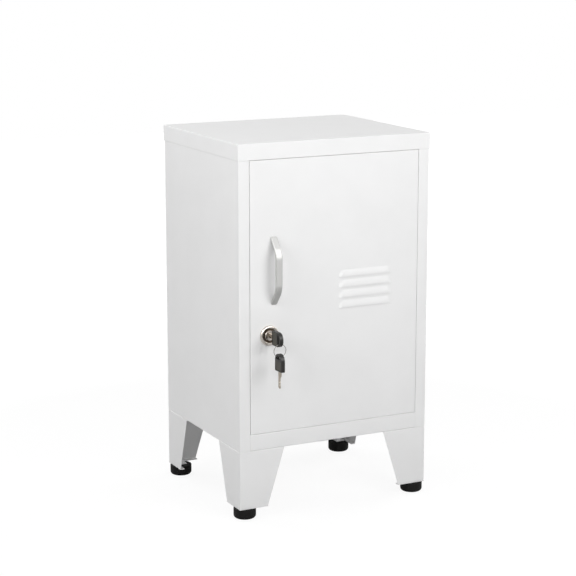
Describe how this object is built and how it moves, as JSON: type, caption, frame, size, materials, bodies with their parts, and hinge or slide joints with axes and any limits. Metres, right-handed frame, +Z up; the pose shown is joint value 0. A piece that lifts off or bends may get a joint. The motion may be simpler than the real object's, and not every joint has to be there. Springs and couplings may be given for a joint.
{
  "type": "locker cabinet",
  "caption": "Free-standing sheet-metal locker cabinet on tapered legs with levelling feet, a hinged louvred door, a bow handle, a key lock and a loose shelf inside.",
  "frame": {"origin": "on the floor under the middle of the whole object's bounding box, with the feet screwed in", "axes": "+Z up, -Y towards the front with the door and lock, +X towards the hinge side of the door (the viewer's right)"},
  "size_m": [0.3328, 0.3278, 0.582],
  "materials": {
    "white_powder_coat": "smooth white powder coat, semi-matt",
    "zinc_plated_steel": "bright zinc plating",
    "satin_nickel": "satin nickel plating",
    "polished_nickel": "polished nickel plating, slightly warm",
    "black_plastic": "moulded black plastic, satin",
    "black_rubber": "soft black rubber",
    "white_nylon": "natural white nylon"
  },
  "bodies": {
    "cabinet": {"top_cap": "white_powder_coat", "side_panel_left": "white_powder_coat", "side_panel_right": "white_powder_coat", "strike_plate": "white_powder_coat", "back_panel": "white_powder_coat", "floor_panel": "white_powder_coat", "leg_front_left": "white_powder_coat", "leg_front_right": "white_powder_coat", "leg_rear_left": "white_powder_coat", "leg_rear_right": "white_powder_coat", "foot_plate_front_left": "white_powder_coat", "foot_plate_front_right": "white_powder_coat", "foot_plate_rear_left": "white_powder_coat", "foot_plate_rear_right": "white_powder_coat", "leg_screw_front_left_1": "zinc_plated_steel", "leg_screw_front_left_2": "zinc_plated_steel", "leg_screw_front_right_1": "zinc_plated_steel", "leg_screw_front_right_2": "zinc_plated_steel", "leg_screw_rear_left_1": "zinc_plated_steel", "leg_screw_rear_left_2": "zinc_plated_steel", "leg_screw_rear_right_1": "zinc_plated_steel", "leg_screw_rear_right_2": "zinc_plated_steel", "shelf_bracket_front_left": "white_powder_coat", "shelf_bracket_front_right": "white_powder_coat", "shelf_bracket_rear_left": "white_powder_coat", "shelf_bracket_rear_right": "white_powder_coat", "hinge_bush_top": "white_nylon", "hinge_bush_bottom": "white_nylon", "door_buffer_top": "black_rubber", "door_buffer_bottom": "black_rubber"},
    "shelf": {"shelf": "white_powder_coat"},
    "foot_front_left": {"foot_knob_front_left": "black_plastic", "foot_stem_front_left": "zinc_plated_steel"},
    "foot_front_right": {"foot_knob_front_right": "black_plastic", "foot_stem_front_right": "zinc_plated_steel"},
    "foot_rear_left": {"foot_knob_rear_left": "black_plastic", "foot_stem_rear_left": "zinc_plated_steel"},
    "foot_rear_right": {"foot_knob_rear_right": "black_plastic", "foot_stem_rear_right": "zinc_plated_steel"},
    "door": {"door_panel": "white_powder_coat", "door_stiffener": "white_powder_coat", "hinge_pin_top": "zinc_plated_steel", "hinge_pin_bottom": "zinc_plated_steel", "door_handle": "satin_nickel", "handle_screw_top": "zinc_plated_steel", "handle_screw_bottom": "zinc_plated_steel", "lock_housing": "polished_nickel", "lock_nut": "zinc_plated_steel"},
    "lock": {"lock_plug": "polished_nickel", "lock_cam": "zinc_plated_steel", "cam_screw": "zinc_plated_steel"},
    "key": {"key_blade": "satin_nickel", "key_bow": "black_plastic"},
    "ring": {"key_ring": "polished_nickel"},
    "spare_key": {"spare_key_blade": "satin_nickel", "spare_key_bow": "black_plastic"}
  },
  "joints": [
    {"name": "door_hinge", "type": "hinge", "parent": "cabinet", "child": "door", "pos_m": [0.1249, -0.1114, 0.1355], "axis": [0, 0, 1], "range_deg": [0, 120]},
    {"name": "lock_turn", "type": "hinge", "parent": "door", "child": "lock", "pos_m": [-0.1135, -0.1164, 0.288], "axis": [0, 1, 0], "range_deg": [0, 90]},
    {"name": "key_pull", "type": "slide", "parent": "lock", "child": "key", "axis": [0, -1, 0], "range_m": [0, 0.02]},
    {"name": "ring_swing", "type": "hinge", "parent": "key", "child": "ring", "pos_m": [-0.1135, -0.1529, 0.28176], "axis": [1, 0, 0], "range_deg": [-45, 20]},
    {"name": "spare_key_hang", "type": "hinge", "parent": "ring", "child": "spare_key", "pos_m": [-0.1135, -0.1529, 0.27176], "axis": [0, 1, 0], "range_deg": [-90, 0]},
    {"name": "shelf_lift", "type": "slide", "parent": "cabinet", "child": "shelf", "axis": [0, 0, 1], "range_m": [0, 0.03]},
    {"name": "foot_screw_front_left", "type": "slide", "parent": "cabinet", "child": "foot_front_left", "axis": [0, 0, -1], "range_m": [0, 0.01]},
    {"name": "foot_screw_front_right", "type": "slide", "parent": "cabinet", "child": "foot_front_right", "axis": [0, 0, -1], "range_m": [0, 0.01]},
    {"name": "foot_screw_rear_left", "type": "slide", "parent": "cabinet", "child": "foot_rear_left", "axis": [0, 0, -1], "range_m": [0, 0.01]},
    {"name": "foot_screw_rear_right", "type": "slide", "parent": "cabinet", "child": "foot_rear_right", "axis": [0, 0, -1], "range_m": [0, 0.01]}
  ],
  "couplings": [
    {"joint": "spare_key_hang", "follows": "lock_turn", "ratio": -1}
  ]
}
